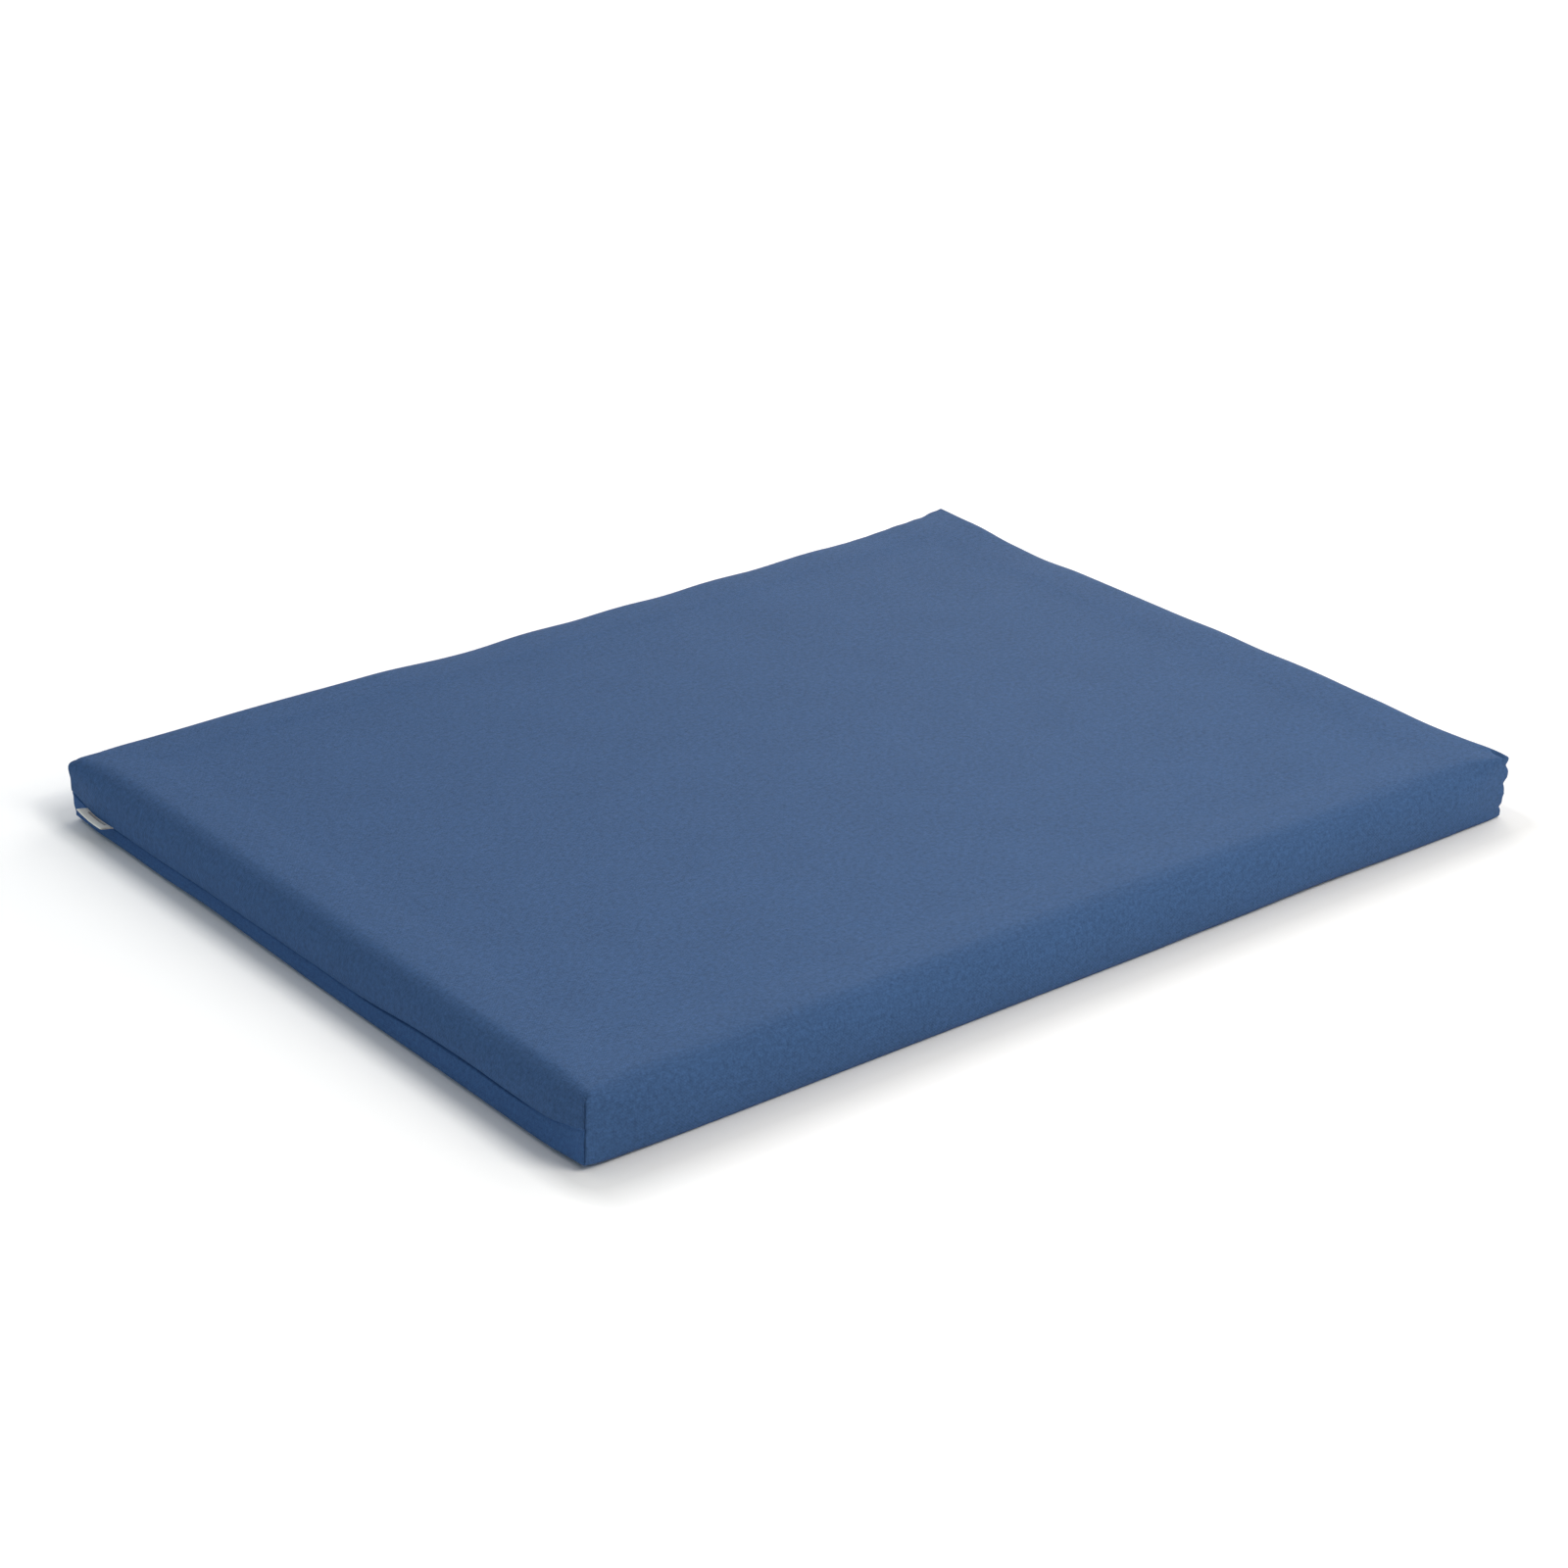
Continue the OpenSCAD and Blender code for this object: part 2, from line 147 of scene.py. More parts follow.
# Notches of the front right corner and the bulges between them, as (height, depth)
NOTCHES = [(48.5, 1.9), (43.3, -1.2), (39.5, -1.2), (33.5, 1.5), (25, -0.8), (10.5, 2.2)]
NOTCH_HALF = 2.4
# The seam past the ends of the zip: depth, half width, and how it starts and fades
ZIP_GROOVE, ZIP_GROOVE_HALF = 0.7, 0.9
ZIP_GROOVE_START, ZIP_GROOVE_FADE = 5, 20
# Cells of the cover's grid, as (finest, coarsest), and the width of its outermost ones
CELLS_X, CELLS_Y = (3.5, 20), (2.9, 15)
END_CELL = 0.7
# How far from a feature the cells stay finest, and how fast they widen past that
FINE_REACH, CELL_GROWTH = 12, 0.11
# The grid's rows up and down from the walls' middle
ROWS_UP = np.array([0, 0.7, 1.6, 2.8, 4.4, LIP_ROW, 8.6, 10.8, 13.2, 15.8, 18.6, 21.4, 24.4, MID])


def ease(t):
    """0 up to t = 0, 1 from t = 1 on and smooth between them."""
    t = np.clip(t, 0, 1)
    return t * t * (3 - 2 * t)


def bump(t):
    """1 at t = 0, which falls smoothly to 0 at t = -1 and t = 1."""
    return 0.5 + 0.5 * np.cos(math.pi * np.clip(np.abs(t), 0, 1))


def hollow(t):
    """1 at t = 0, which falls off on both sides as a bell."""
    return np.exp(-t ** 2)


def waves(s, table):
    """The sum of the table's waves at the places s."""
    return sum(amount * bump((s - place) / half) for place, half, amount in table)


def read_table(points, s):
    """Straight lines through points (place, value), read at s."""
    place, value = np.array(points, float).T
    return np.interp(s, place, value)


def curve_through(points, s):
    """A smooth curve through points (place, value), read at s."""
    place, value = np.array(points, float).T
    slope = np.gradient(value, place)
    i = np.clip(np.searchsorted(place, s) - 1, 0, len(place) - 2)
    gap = place[i + 1] - place[i]
    t = np.clip((s - place[i]) / gap, 0, 1)
    return (value[i] * (1 + 2 * t) * (1 - t) ** 2 + value[i + 1] * t * t * (3 - 2 * t)
            + gap * (slope[i] * t * (1 - t) ** 2 - slope[i + 1] * t * t * (1 - t)))


def stations(low, high, features, finest, coarsest):
    """Grid places from low to high, closest together near the features."""
    out = [low]
    while out[-1] < high:
        near = min(abs(out[-1] - f) for f in features)
        out.append(out[-1] + min(coarsest, finest + CELL_GROWTH * max(near - FINE_REACH, 0)))
    out = np.array(out)
    return low + (out - low) * (high - low) / (out[-1] - low)


def with_close_ends(places, step):
    """The same places with one more close to each end."""
    return np.sort(np.append(places, [places[0] + step, places[-1] - step]))


def halved(places):
    """The same places with one more halfway between each two."""
    return np.sort(np.concatenate([places, (places[1:] + places[:-1]) / 2]))


def box_grid(xs, ys, zs):
    """Points, quads and the side of each quad of a box that is gridded at xs, ys, zs."""
    shape = (len(xs), len(ys), len(zs))
    shell = np.zeros(shape, bool)
    shell[[0, -1]] = shell[:, [0, -1]] = shell[:, :, [0, -1]] = True
    index = np.full(shape, -1)
    index[shell] = np.arange(shell.sum())
    i, j, k = np.nonzero(shell)
    points = np.column_stack([xs[i], ys[j], zs[k]])
    sides = {
        "top": (index[:, :, -1], False), "bottom": (index[:, :, 0], True),
        "front": (index[:, 0, :], False), "back": (index[:, -1, :], True),
        "right": (index[-1], False), "left": (index[0], True),
    }
    quads, names = [], []
    for name, (grid, flipped) in sides.items():
        corners = [grid[:-1, :-1], grid[1:, :-1], grid[1:, 1:], grid[:-1, 1:]]
        quad = np.stack(corners[::-1] if flipped else corners, -1).reshape(-1, 4)
        quads.append(quad)
        names += [name] * len(quad)
    return points, np.concatenate(quads), np.array(names), index


def round_off(u, w, r):
    """How far a point at shares u and w of a rounding's width moves along each of the two."""
    far = np.maximum(np.hypot(u, w), 1)
    return r * (u / far - u), r * (w / far - w)


def rounded(rest):
    """Moves of the grid's points that round the box's edges, softer away from the corners."""
    x, y, z = rest.T
    from_end, from_side = HALF_X - np.abs(x), HALF_Y - np.abs(y)
    upper, up = z >= MID, np.abs(z - MID)
    end_r = np.where(upper, np.where(x < 0, TOP_R["left"], TOP_R["right"]),
                     np.where(x < 0, LOW_R["left"], LOW_R["right"]))
    side_r = np.where(upper, np.where(y < 0, TOP_R["front"], TOP_R["back"]),
                      np.where(y < 0, LOW_R["front"], LOW_R["back"]))
    least = np.where(y < 0, *LEFT_CORNER_R)
    least = np.where((x < 0) & upper, least, CORNER_R)
    end_r = least + (end_r - least) * ease(from_side / CORNER_SOFT)
    side_r = least + (side_r - least) * ease(from_end / CORNER_SOFT)
    ex, ez = round_off(np.clip(1 - from_end / end_r, 0, 1),
                       np.clip(1 - (MID - up) / end_r, 0, 1), end_r)
    sy, sz = round_off(np.clip(1 - from_side / side_r, 0, 1),
                       np.clip(1 - (MID - up) / side_r, 0, 1), side_r)
    cx, cy = round_off(np.clip(1 - from_end / CORNER_R, 0, 1),
                       np.clip(1 - from_side / CORNER_R, 0, 1), CORNER_R)
    return np.column_stack([np.sign(x) * (ex + cx), np.sign(y) * (sy + cy),
                            np.where(upper, 1, -1) * (ez + sz)])


def sagging_seams(rest):
    """How far the seams of the ends pull the rows of the walls down."""
    x, y, z = rest.T
    left = ease(1 - (x + HALF_X) / SEAM_FADE)
    right = ease(1 - (HALF_X - x) / SEAM_FADE)
    seam = (left * curve_through(LEFT_SEAM, y) + right * curve_through(RIGHT_SEAM, y)
            + (1 - left - right) * MID)
    return (seam - MID) * (1 - np.abs(z - MID) / MID)


def swelling(rest):
    """How far the walls stand out, with the open seams of the ends."""
    x, y, z = rest.T
    from_end, from_side = HALF_X - np.abs(x), HALF_Y - np.abs(y)
    at_end = np.clip(1 - from_end / SWELL_REACH, 0, 1)
    at_side = np.clip(1 - from_side / SWELL_REACH, 0, 1)
    wall = np.sin(math.pi * np.clip(z / HEIGHT, 0, 1))
    out_x = read_table(END_PROFILE, z - MID) * ease(from_side / END_EASE)
    slit = np.where(x < 0, read_table(LEFT_SLIT, y), read_table(RIGHT_SLIT, y))
    out_x -= slit * hollow((z - MID + SLIT_BELOW) / SLIT_HALF)
    out_y = np.where(y < 0, FRONT_SWELL, 0) * wall * ease(from_end / FRONT_EASE)
    return np.sign(x) * at_end * out_x, np.sign(y) * at_side * out_y


def lifting(rest):
    """How far the top crowns, and how far its edges and the floor's rise and dip."""
    x, y, z = rest.T
    share = z / HEIGHT
    edge = np.exp(-(HALF_Y - np.abs(y)) / WAVE_REACH)
    end = np.exp(-(HALF_X - np.abs(x)) / WAVE_REACH)
    top = TOP_RISE + np.where(y > 0, edge * waves(x, BACK_TOP_WAVES), 0)
    top += np.where(x > 0, end * waves(y, RIGHT_TOP_WAVES), 0)
    near_right = np.exp(-(HALF_X - x) / RIPPLE_REACH)
    top += RIPPLE_RISE * np.sin(x / RIPPLE_LENGTH) * near_right * np.where(y > 0, edge ** 3, 0)
    low = np.where(y < 0, edge * waves(x, FRONT_LOW_WAVES), 0)
    low += np.where(x < 0, end * waves(y, LEFT_LOW_WAVES), 0)
    still = MID + LIP_ROW + LIP_SHOULDER
    high = np.where(y > 0, ease((z - still) / (HEIGHT - still)), share)
    return top * high + low * (1 - share) ** 2


def creases(rest):
    """Drawn-in folds of the front right corner's tip and of the left end's flap."""
    x, y, z = rest.T
    from_front = y + HALF_Y
    along = ease(from_front / 2) * ease((TIP_LENGTH - from_front) / TIP_FADE)
    tip = TIP_DEPTH * hollow((HALF_X - x - TIP_PLACE) / TIP_HALF) * along * np.where(z > MID, 1, 0)
    flap = np.where(x < 0, 1, 0) * np.clip(1 - (x + HALF_X) / SWELL_REACH, 0, 1)
    flap = flap * bump((z - MID - FLAP_MIDDLE) / FLAP_HALF)
    fold = sum(depth * hollow((y - place) / half) for place, half, depth in FLAP_FOLDS)
    return flap * fold, -tip


def leaning_corners(rest):
    """How far the corners lean, and the ear that the front left one makes."""
    x, y, z = rest.T
    move = np.zeros_like(rest)
    share = (z / HEIGHT)[:, None]
    for (side_x, side_y), (low, high) in CORNERS.items():
        far = np.hypot(HALF_X - side_x * x, HALF_Y - side_y * y)
        near = np.exp(-far / CORNER_REACH)[:, None]
        shift = np.array(low) * (1 - share) + np.array(high) * share
        move += near * shift
    ear = np.exp(-((x + HALF_X) + EAR_SLANT * (y + HALF_Y)) / EAR_REACH)
    move[:, 2] += EAR_RISE * ear * share[:, 0]
    return move


def corner_seams(rest):
    """The upright seams of the corners, drawn in, with the front right one's notches."""
    x, y, z = rest.T
    far = np.hypot(HALF_X - np.abs(x), HALF_Y - np.abs(y))
    upright = ease(z / SEAM_EASE) * ease((HEIGHT - z) / SEAM_EASE)
    notch = sum(depth * hollow((z - height) / NOTCH_HALF) for height, depth in NOTCHES)
    pucker = np.where((x > 0) & (y < 0), notch, PUCKER * (1 + np.sin(z / PUCKER_LENGTH + x + y)))
    drawn = upright * (GROOVE * hollow(far / GROOVE_WIDTH) + pucker * np.exp(-far / PUCKER_REACH))
    return -np.sign(x) * DRAWN_X * drawn, -np.sign(y) * DRAWN_Y * drawn


def zip_wall(rest):
    """How the back wall's rows draw together at the ends of the zip's window, over a seam."""
    x, y, z = rest.T
    past = np.maximum(WINDOW_LOW - x, x - WINDOW_HIGH)
    closing = 1 - ease(past / LIP_CLOSE)
    widening = ease((past - LIP_CLOSE) / (2 * LIP_CLOSE))
    edge = FOLD_R + LIP_HALF * np.maximum(closing, widening)
    up = np.abs(z - MID)
    shift = np.where(up < LIP_ROW, up * (edge / LIP_ROW - 1),
                     (edge - LIP_ROW) * (1 - ease((up - LIP_ROW) / LIP_ROOM)))
    back = np.where(y > HALF_Y - NEAR, 1, 0)
    along = ease((past - LIP_CLOSE) / ZIP_GROOVE_START) * ease((HALF_X - np.abs(x)) / ZIP_GROOVE_FADE)
    groove = ZIP_GROOVE * hollow(up * edge / LIP_ROW / ZIP_GROOVE_HALF) * along
    return -back * groove, back * np.sign(z - MID) * shift


def cover_form(rest):
    """Where the points of the box grid lie on the soft mat."""
    point = rest + rounded(rest) + leaning_corners(rest)
    swell_x, swell_y = swelling(rest)
    seam_x, seam_y = corner_seams(rest)
    zip_y, zip_z = zip_wall(rest)
    fold_x, fold_z = creases(rest)
    point[:, 0] += swell_x + seam_x + fold_x
    point[:, 1] += swell_y + seam_y + zip_y
    point[:, 2] += sagging_seams(rest) + lifting(rest) + zip_z + fold_z
    return point


# ---------------------------------------------------------------- the cover's cloth simulation
# No point moves further than MOST_MOVE
MOST_MOVE = 1.5
PRESSURE = 4.0
LAST_FRAME = 20
# The top is held from HELD_FROM inside its edges, more over HELD_OVER, and so is all near these
HELD_FROM, HELD_OVER = 25, 70
HELD_LOW, HELD_SEAM, HELD_CORNER = 3, 0.8, 14
HELD_LEAST = 0.01


def holding(rest):
    """How firmly each point of the grid is held while the cloth swells."""
    x, y, z = rest.T
    from_end, from_side = HALF_X - np.abs(x), HALF_Y - np.abs(y)
    inside = np.minimum(from_end, from_side)
    on_top = np.where(z > HEIGHT - NEAR, ease((inside - HELD_FROM) / HELD_OVER), 0)
    at_floor = z < HELD_LOW
    at_zip = (y > HALF_Y - NEAR) & (np.abs(z - MID) < LIP_ROW + LIP_ROOM)
    at_seam = (from_end < NEAR) & (np.abs(z - MID) < HELD_SEAM)
    at_corner = np.exp(-np.hypot(from_end, from_side) / HELD_CORNER)
    return np.maximum.reduce([on_top, at_floor | at_zip | at_seam, at_corner])


def settle(form, quads, held):
    """How far each point moves when air swells the cover, by a short cloth simulation."""
    mesh = bpy.data.meshes.new("settling")
    mesh.from_pydata(form * MM, [], quads.tolist())
    piece = bpy.data.objects.new("settling", mesh)
    scene.collection.objects.link(piece)
    group = piece.vertex_groups.new(name="held")
    for index in np.nonzero(held > HELD_LEAST)[0]:
        group.add([int(index)], float(min(held[index], 1)), "REPLACE")
    cloth = piece.modifiers.new("Cloth", "CLOTH").settings
    cloth.quality = 6
    cloth.mass = 0.2
    cloth.tension_stiffness = cloth.compression_stiffness = 12
    cloth.shear_stiffness = 4
    cloth.bending_stiffness = 0.3
    cloth.use_pressure = True
    cloth.uniform_pressure_force = PRESSURE
    cloth.vertex_group_mass = "held"
    cloth.effector_weights.gravity = 0
    for frame_number in range(1, LAST_FRAME + 1):
        scene.frame_set(frame_number)
    done = piece.evaluated_get(bpy.context.evaluated_depsgraph_get())
    moved = np.empty(len(form) * 3)
    done.data.vertices.foreach_get("co", moved)
    bpy.data.objects.remove(piece)
    scene.frame_set(1)
    move = moved.reshape(-1, 3) / MM - form
    far = np.linalg.norm(move, axis=1)[:, None]
    return move * MOST_MOVE / (MOST_MOVE + far)


def spread(move, coarse, fine):
    """Moves of the fine grid's points from those of the coarse grid's."""
    field = np.zeros(fine.shape + (3,))
    field[::2, ::2, ::2][coarse >= 0] = move[coarse[coarse >= 0]]
    for axis in range(3):
        line = np.moveaxis(field, axis, 0)
        line[1::2] = (line[:-2:2] + line[2::2]) / 2
    return field[fine >= 0]


# ---------------------------------------------------------------- colours and sizes of the finish
BLUE = (0.0445, 0.0998, 0.228)
# Painted light: the cloth of the underside and of the ends below their seams is tinted lighter and bluer
# against the rest, standing in for light that the ends' lower strips don't get
UNDER_PAINTED_LIGHT = (1.0, 1.08, 1.14)
LINER_WHITE = (0.72, 0.71, 0.68)
TAPE_BLUE = (0.022, 0.055, 0.14)
COIL_BLUE = (0.024, 0.06, 0.15)
THREAD_BLUE = (0.03, 0.075, 0.185)
SLIDER_BLUE = (0.02, 0.045, 0.11)
STOP_GREY = (0.62, 0.63, 0.65)
# Threads' pitch and relief in metres, as (pitch, relief)
TWILL, COTTON = (0.0008, 0.00016), (0.0004, 0.00005)
SEAM_THREAD, FILLER_CORD = (0.0006, 0.00005), (0.0009, 0.00006)
# Roughness, grain's scale and relief of the plain finishes
NYLON, ALUMINIUM, ENAMEL = (0.35, 900, 0.00001), (0.38, 1200, 0.00001), (0.3, 600, 0.000008)
# Between these two lie most values of a noise
NOISE_LOW, NOISE_HIGH = 0.3, 0.7
# Slubs along each way of the cloth, and (scale, detail) of the noises of its grain, blotches and clouds
SLUBS = [(1400, 90, 1), (110, 1100, 1)]
DYE_NOISES = [(520, 3.0), (240, 2.0), (16, 3.0)]
# How high these stand against the warps of the cloth
WEFT_HEIGHT, SLUB_HEIGHT, GRAIN_HEIGHT = 0.75, 0.7, 1.3
# How much darker and lighter they make the cloth's tone, and how far its colour goes with that; for the
# threads this is painted shade in their dips and painted highlight on their crowns
THREAD_SHADE_AND_HIGHLIGHT = (-0.10, 0.05)
SLUB_TONE, CLOUD_TONE, BLOTCH_TONE, GRAIN_TONE = 0.09, 0.035, 0.125, 0.15
DYE_SPREAD = 0.45
# Herringbone of the tapes: width of a bone and pitch of its rows, in metres
TAPE_BONE, TAPE_ROW = 0.0012, 0.0008

STITCH_LONG, STITCH_PITCH, STITCH_WIDE, STITCH_RISE = 2.5, 3.3, 0.55, 0.06
STITCH_FROM_LIP = 2.5
# The rings of a stitch, as (place along its length, share of its width)
STITCH_RINGS = [(-0.5, 0.35), (-0.36, 0.9), (0, 1.0), (0.36, 0.9), (0.5, 0.35)]
# How far past the shut window the stitches turn, and how much shorter their end rows are
STITCH_PAST, STITCH_SHORT = 4, 1.6

# How the label stands: its rise at the wall, its slant and tilt for each mm outwards, and its sway
LABEL_RISE, LABEL_SLANT, LABEL_TILT = 0.2, 0.3, 0.1
LABEL_SWAY, LABEL_SWAY_LENGTH = 0.03, 7.0
# How many places along the seam the ribbon's mesh has
LABEL_PLACES = 25
# Half the ribbon's thickness, and its middle line when folded, as (out, rise)
RIBBON_HALF = 0.17
RIBBON_SPINE = [(-5, 0.32), (-2.5, 0.34), (0, 0.4), (2.8, 0.55), (5.6, 0.6), (8.0, 0.5), (9.9, 0.38),
                (10.7, 0.2), (10.9, 0), (10.7, -0.2), (9.9, -0.36), (8.0, -0.38), (5.6, -0.36),
                (2.8, -0.32), (0, -0.3), (-2.5, -0.3), (-5, -0.3)]
RIBBON_PITCH = 0.0005
CREAM_LOW, CREAM_HIGH = (0.94, 0.86, 0.74, 1), (0.99, 0.93, 0.83, 1)
LOZENGE_BROWN = (0.16, 0.075, 0.05, 1)
# The row of lozenges, in metres: place across the ribbon, step, slope and size of one, half length
LOZENGE_ROW, LOZENGE_STEP, LOZENGE_SLANT, LOZENGE_HALF = 0.0095, 0.0019, 1.6, 0.0016
LOZENGE_ROW_HALF = 0.0135

# The liner lies LINER_IN inside the walls and half of that inside the top and the underside
LINER_IN = 5.0
# How round its edges are, how many grid places it has, and how far its corners draw in
LINER_R = 20.0
LINER_PLACES = (61, 47, 11)
LINER_CORNER_PULL = 0.02
# Cloth from its middle to its ends
LINER_CLOTH = 450


# ---------------------------------------------------------------- meshes
def add_mesh(name, points, faces, uv=None):
    """A smooth mesh of points in mm, with the cut cloth's coordinates of its corners."""
    mesh = bpy.data.meshes.new(name)
    mesh.from_pydata((np.asarray(points, float) * MM).tolist(), [], [list(f) for f in faces])
    mesh.polygons.foreach_set("use_smooth", [True] * len(mesh.polygons))
    if uv is not None:
        layer = mesh.uv_layers.new(name="cloth")
        layer.data.foreach_set("uv", (np.asarray(uv, float) * MM).ravel())
    piece = bpy.data.objects.new(name, mesh)
    scene.collection.objects.link(piece)
    return piece


def cloth_place(side, corner):
    """Where corners of the grid's quads lie on the cut cloth, which wraps the front."""
    x, y, z = corner.T
    down = HEIGHT - z
    upper = z.reshape(-1, 4).mean(1).repeat(4) > MID
    fall = np.where(upper, down, z)
    under = -2 * HALF_Y - HEIGHT - y
    end = np.where(upper, y, under)
    return {
        "top": (x, y), "bottom": (x, under), "front": (x, -HALF_Y - down), "back": (x, HALF_Y + fall),
        "left": (-HALF_X - fall, end), "right": (HALF_X + fall, end),
    }[side]


def cloth_uv(rest, quads, sides):
    """The cut cloth's coordinates at the four corners of each quad."""
    place = rest[quads].reshape(-1, 3)
    uv = np.zeros((len(place), 2))
    for side in np.unique(sides):
        mine = (sides == side).repeat(4)
        uv[mine] = np.column_stack(cloth_place(side, place[mine]))
    return uv.reshape(-1, 4, 2)


def lip_steps(way):
    """Where the rows of a lip lie from its edge, as (y, z): way is 1 for the upper one, else -1."""
    round_edge = [(FOLD_R * (math.cos(turn) - 1), -way * FOLD_R * math.sin(turn))
                  for turn in np.linspace(0, math.pi, 7)[1:]]
    return round_edge + [(-2 * FOLD_R, way * LIP_TURN * share) for share in (0.15, 0.5, 1.0)]


def cover_mesh(rest, form, quads, sides, index, xs, zs):
    """The cover with the zip's window cut out and its lips turned in."""
    uv = cloth_uv(rest, quads, sides)
    low, high = SHUT_LOW - NEAR, SHUT_HIGH + NEAR
    corner = rest[quads]
    up = np.abs(corner[:, :, 2] - MID).max(1)
    cut = ((sides == "back") & (up < LIP_ROW + NEAR)
           & (corner[:, :, 0].min(1) > low) & (corner[:, :, 0].max(1) < high))
    points, faces, uvs = [form], [quads[~cut]], [uv[~cut]]
    columns = np.nonzero((xs > low) & (xs < high))[0]
    left, right = xs[columns][:-1], xs[columns][1:]
    count = len(form)
    for way in (1, -1):
        row = np.argmin(np.abs(zs - (MID + way * LIP_ROW)))
        rows = [index[columns, -1, row]]
        edge = form[rows[0]]
        for dy, dz in lip_steps(way):
            points.append(edge + [0, dy, dz])
            rows.append(np.arange(count, count + len(columns)))
            count += len(columns)
        for step, (a, b) in enumerate(zip(rows, rows[1:])):
            near = np.full(len(left), HALF_Y + MID + LIP_CLOTH * step)
            far = near + LIP_CLOTH
            quad = np.stack([a[:-1], a[1:], b[1:], b[:-1]], -1)
            strip = np.stack([left, near, right, near, right, far, left, far], -1).reshape(-1, 4, 2)
            faces.append(quad[:, ::way])
            uvs.append(strip[:, ::way])
    return np.concatenate(points), np.concatenate(faces), np.concatenate(uvs).reshape(-1, 2)


def ribbon_mesh(spine, ends, half):
    """A folded ribbon's points and faces: spine gives (out, rise) and ends the y places."""
    spine = np.array(spine, float)
    way = np.gradient(spine, axis=0)
    way /= np.linalg.norm(way, axis=1)[:, None]
    normal = np.column_stack([-way[:, 1], way[:, 0]])
    outline = np.concatenate([spine + half * normal, (spine - half * normal)[::-1]])
    length = np.concatenate([[0], np.cumsum(np.linalg.norm(np.diff(spine, axis=0), axis=1))])
    run = np.concatenate([length, length[::-1]])
    n, m = len(outline), len(ends)
    points, place = [], []
    for y in ends:
        root = cover_form(np.array([[-HALF_X, y, MID]]))[0]
        sway = LABEL_SWAY * math.sin(y / LABEL_SWAY_LENGTH)
        points += [[-HALF_X - out, y + LABEL_SLANT * max(out, 0),
                    root[2] + LABEL_RISE + rise + (LABEL_TILT + sway) * max(out, 0)]
                   for out, rise in outline]
        place += [[y, v] for v in run]
    faces = [[a * n + b, a * n + (b + 1) % n, (a + 1) * n + (b + 1) % n, (a + 1) * n + b]
             for a in range(m - 1) for b in range(n)]
    for a, flipped in ((0, False), (m - 1, True)):
        for b in range(n // 2 - 1):
            cap = [a * n + b, a * n + b + 1, a * n + n - 2 - b, a * n + n - 1 - b]
            faces.append(cap if flipped else cap[::-1])
    uv = [place[i] for face in faces for i in face]
    return np.array(points), faces, uv


def stitch_mesh(runs):
    """Stitches along runs of (start, end) on the back wall, each a thin capsule."""
    sides = 6
    points, faces = [], []
    for start, end in runs:
        start, end = np.array(start, float), np.array(end, float)
        reach = np.linalg.norm(end - start)
        way = (end - start) / reach
        side = np.array([-way[1], way[0]])
        count = int(reach / STITCH_PITCH)
        for i in range(count):
            middle = start + way * (i + 0.5) * reach / count
            first = len(points)
            for along, wide in STITCH_RINGS:
                at = middle + way * along * STITCH_LONG
                for a in range(sides):
                    turn = 2 * math.pi * a / sides
                    off = side * STITCH_WIDE / 2 * wide * math.cos(turn)
                    rise = STITCH_WIDE / 2 * wide * math.sin(turn)
                    points.append([at[0] + off[0], HALF_Y + STITCH_RISE + rise, at[1] + off[1]])
            for ring in range(first, len(points) - sides, sides):
                for a in range(sides):
                    b = (a + 1) % sides
                    faces.append([ring + a, ring + b, ring + sides + b, ring + sides + a])
            faces.append(list(range(first + sides - 1, first - 1, -1)))
            faces.append(list(range(len(points) - sides, len(points))))
    return points, faces


